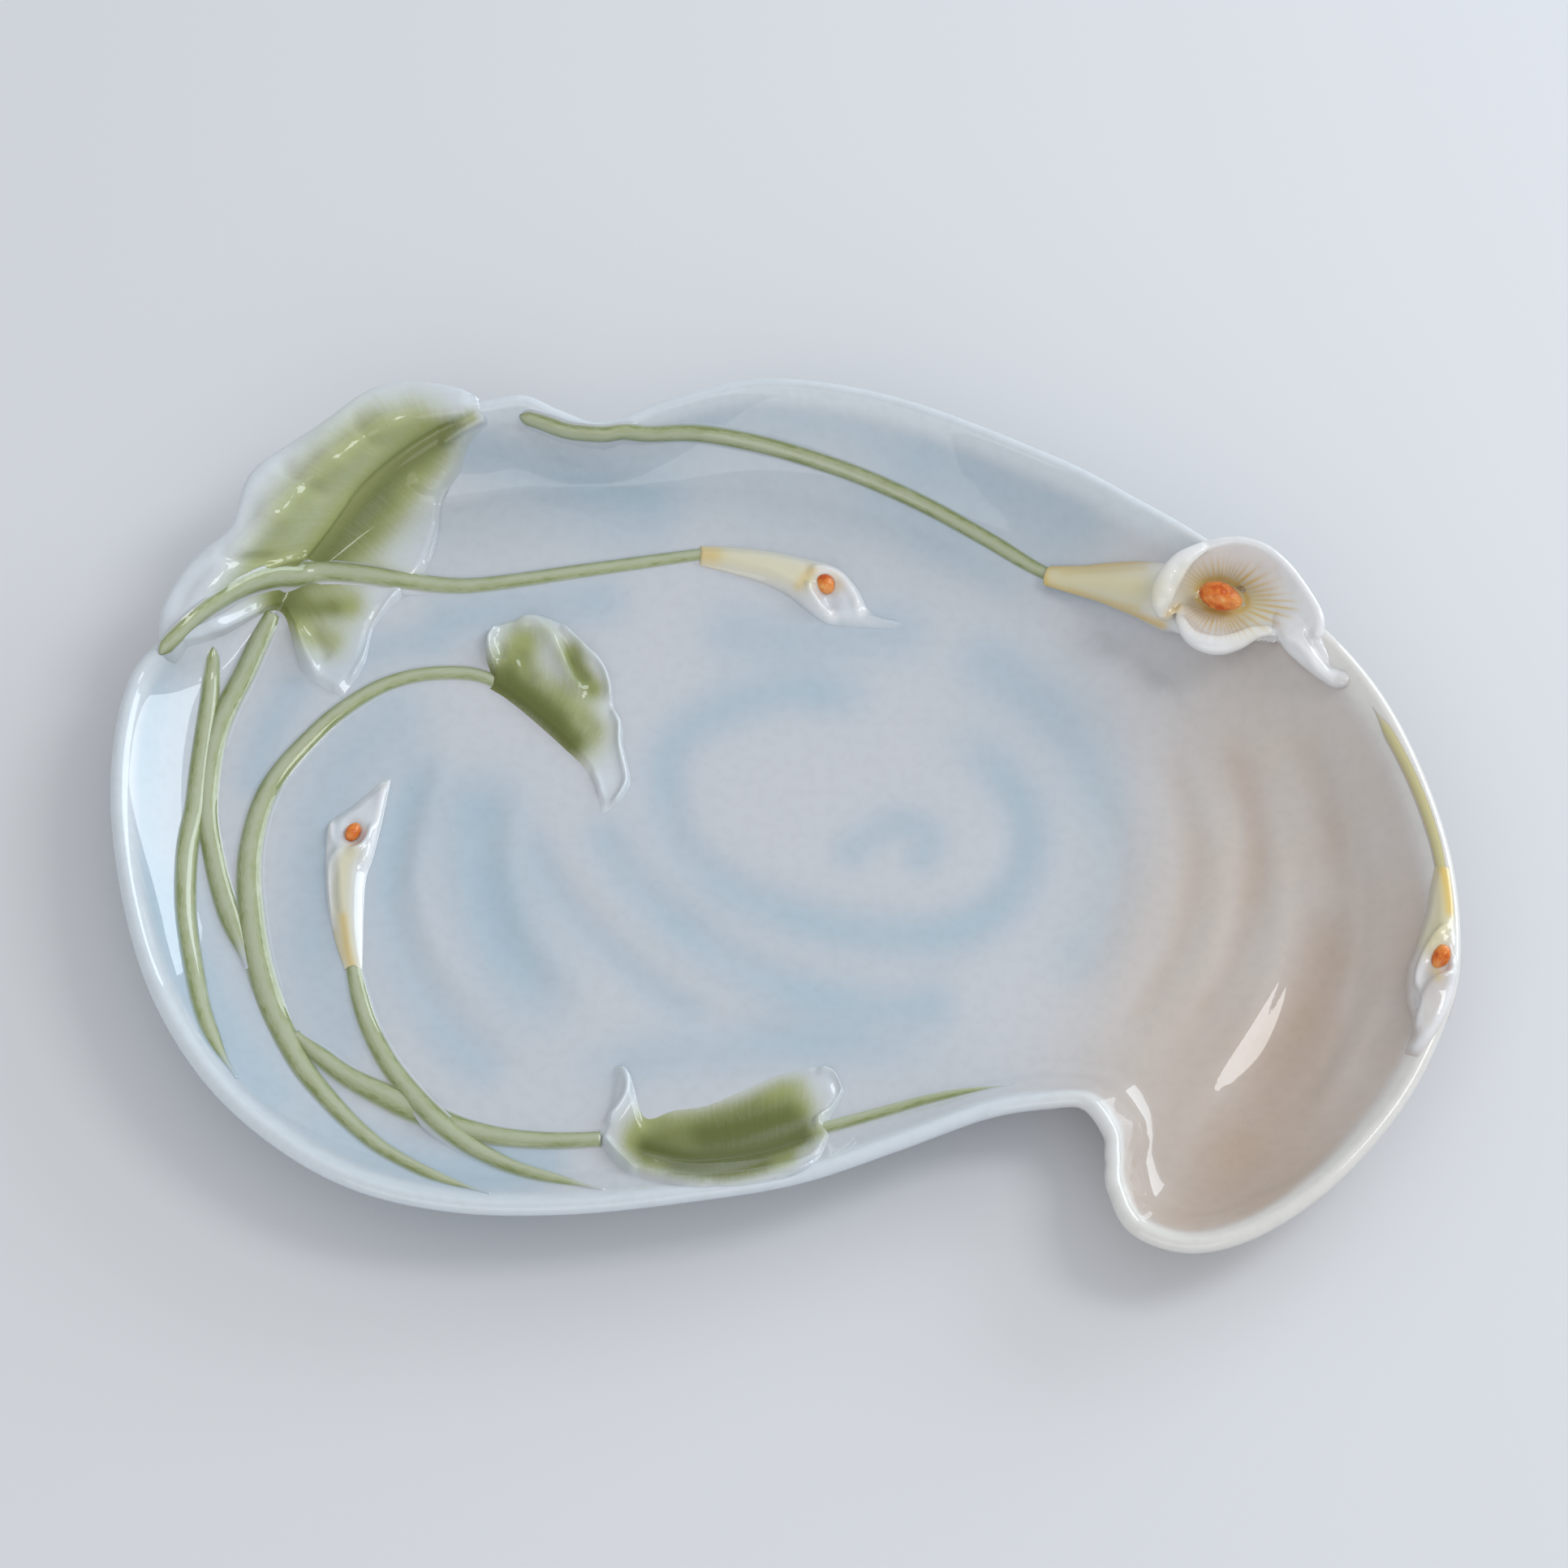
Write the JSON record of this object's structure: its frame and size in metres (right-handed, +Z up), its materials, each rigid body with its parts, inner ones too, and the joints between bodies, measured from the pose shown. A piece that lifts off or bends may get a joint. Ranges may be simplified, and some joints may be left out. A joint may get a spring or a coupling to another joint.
{
  "type": "decorative dish",
  "caption": "Shallow curling porcelain dish with a hooked tail, a low foot ring and calla lilies, leaves and stalks in relief on its rim and floor",
  "frame": {"origin": "Under the middle of the dish's bounding box, on the plane that the foot ring stands on", "axes": "+X along the dish's length, away from the leafy end; +Y towards the high back rim; +Z up; the tail curls towards +X and -Y"},
  "size_m": [0.2597, 0.1985, 0.0298],
  "materials": {
    "basin_glaze": "clear glossy glaze over a pale blue wash that warms to cream in the tail",
    "bare_porcelain": "unglazed, smooth and matt",
    "leaf_glaze": "glossy, green at the rib and white at the margins",
    "stalk_glaze": "glossy pale green",
    "petal_glaze": "glossy white, yellow towards the tube",
    "spadix_glaze": "glossy orange"
  },
  "bodies": {
    "root": {"dish_shell": "basin_glaze", "foot_ring": "bare_porcelain", "rim_leaf": "leaf_glaze", "curled_leaf": "leaf_glaze", "front_leaf": "leaf_glaze", "rim_flower_stem": "stalk_glaze", "centre_bud_stem": "stalk_glaze", "left_stem_outer": "stalk_glaze", "left_stem_inner": "stalk_glaze", "curled_leaf_stalk": "stalk_glaze", "front_leaf_stalk": "stalk_glaze", "front_leaf_far_stalk": "stalk_glaze", "left_bud_stem": "stalk_glaze", "side_bud_stem": "stalk_glaze", "centre_bud_spathe": "petal_glaze", "left_bud_spathe": "petal_glaze", "side_bud_spathe": "petal_glaze", "rim_flower_spathe": "petal_glaze", "centre_bud_spadix": "spadix_glaze", "left_bud_spadix": "spadix_glaze", "side_bud_spadix": "spadix_glaze", "rim_flower_spadix": "spadix_glaze"}
  },
  "joints": []
}
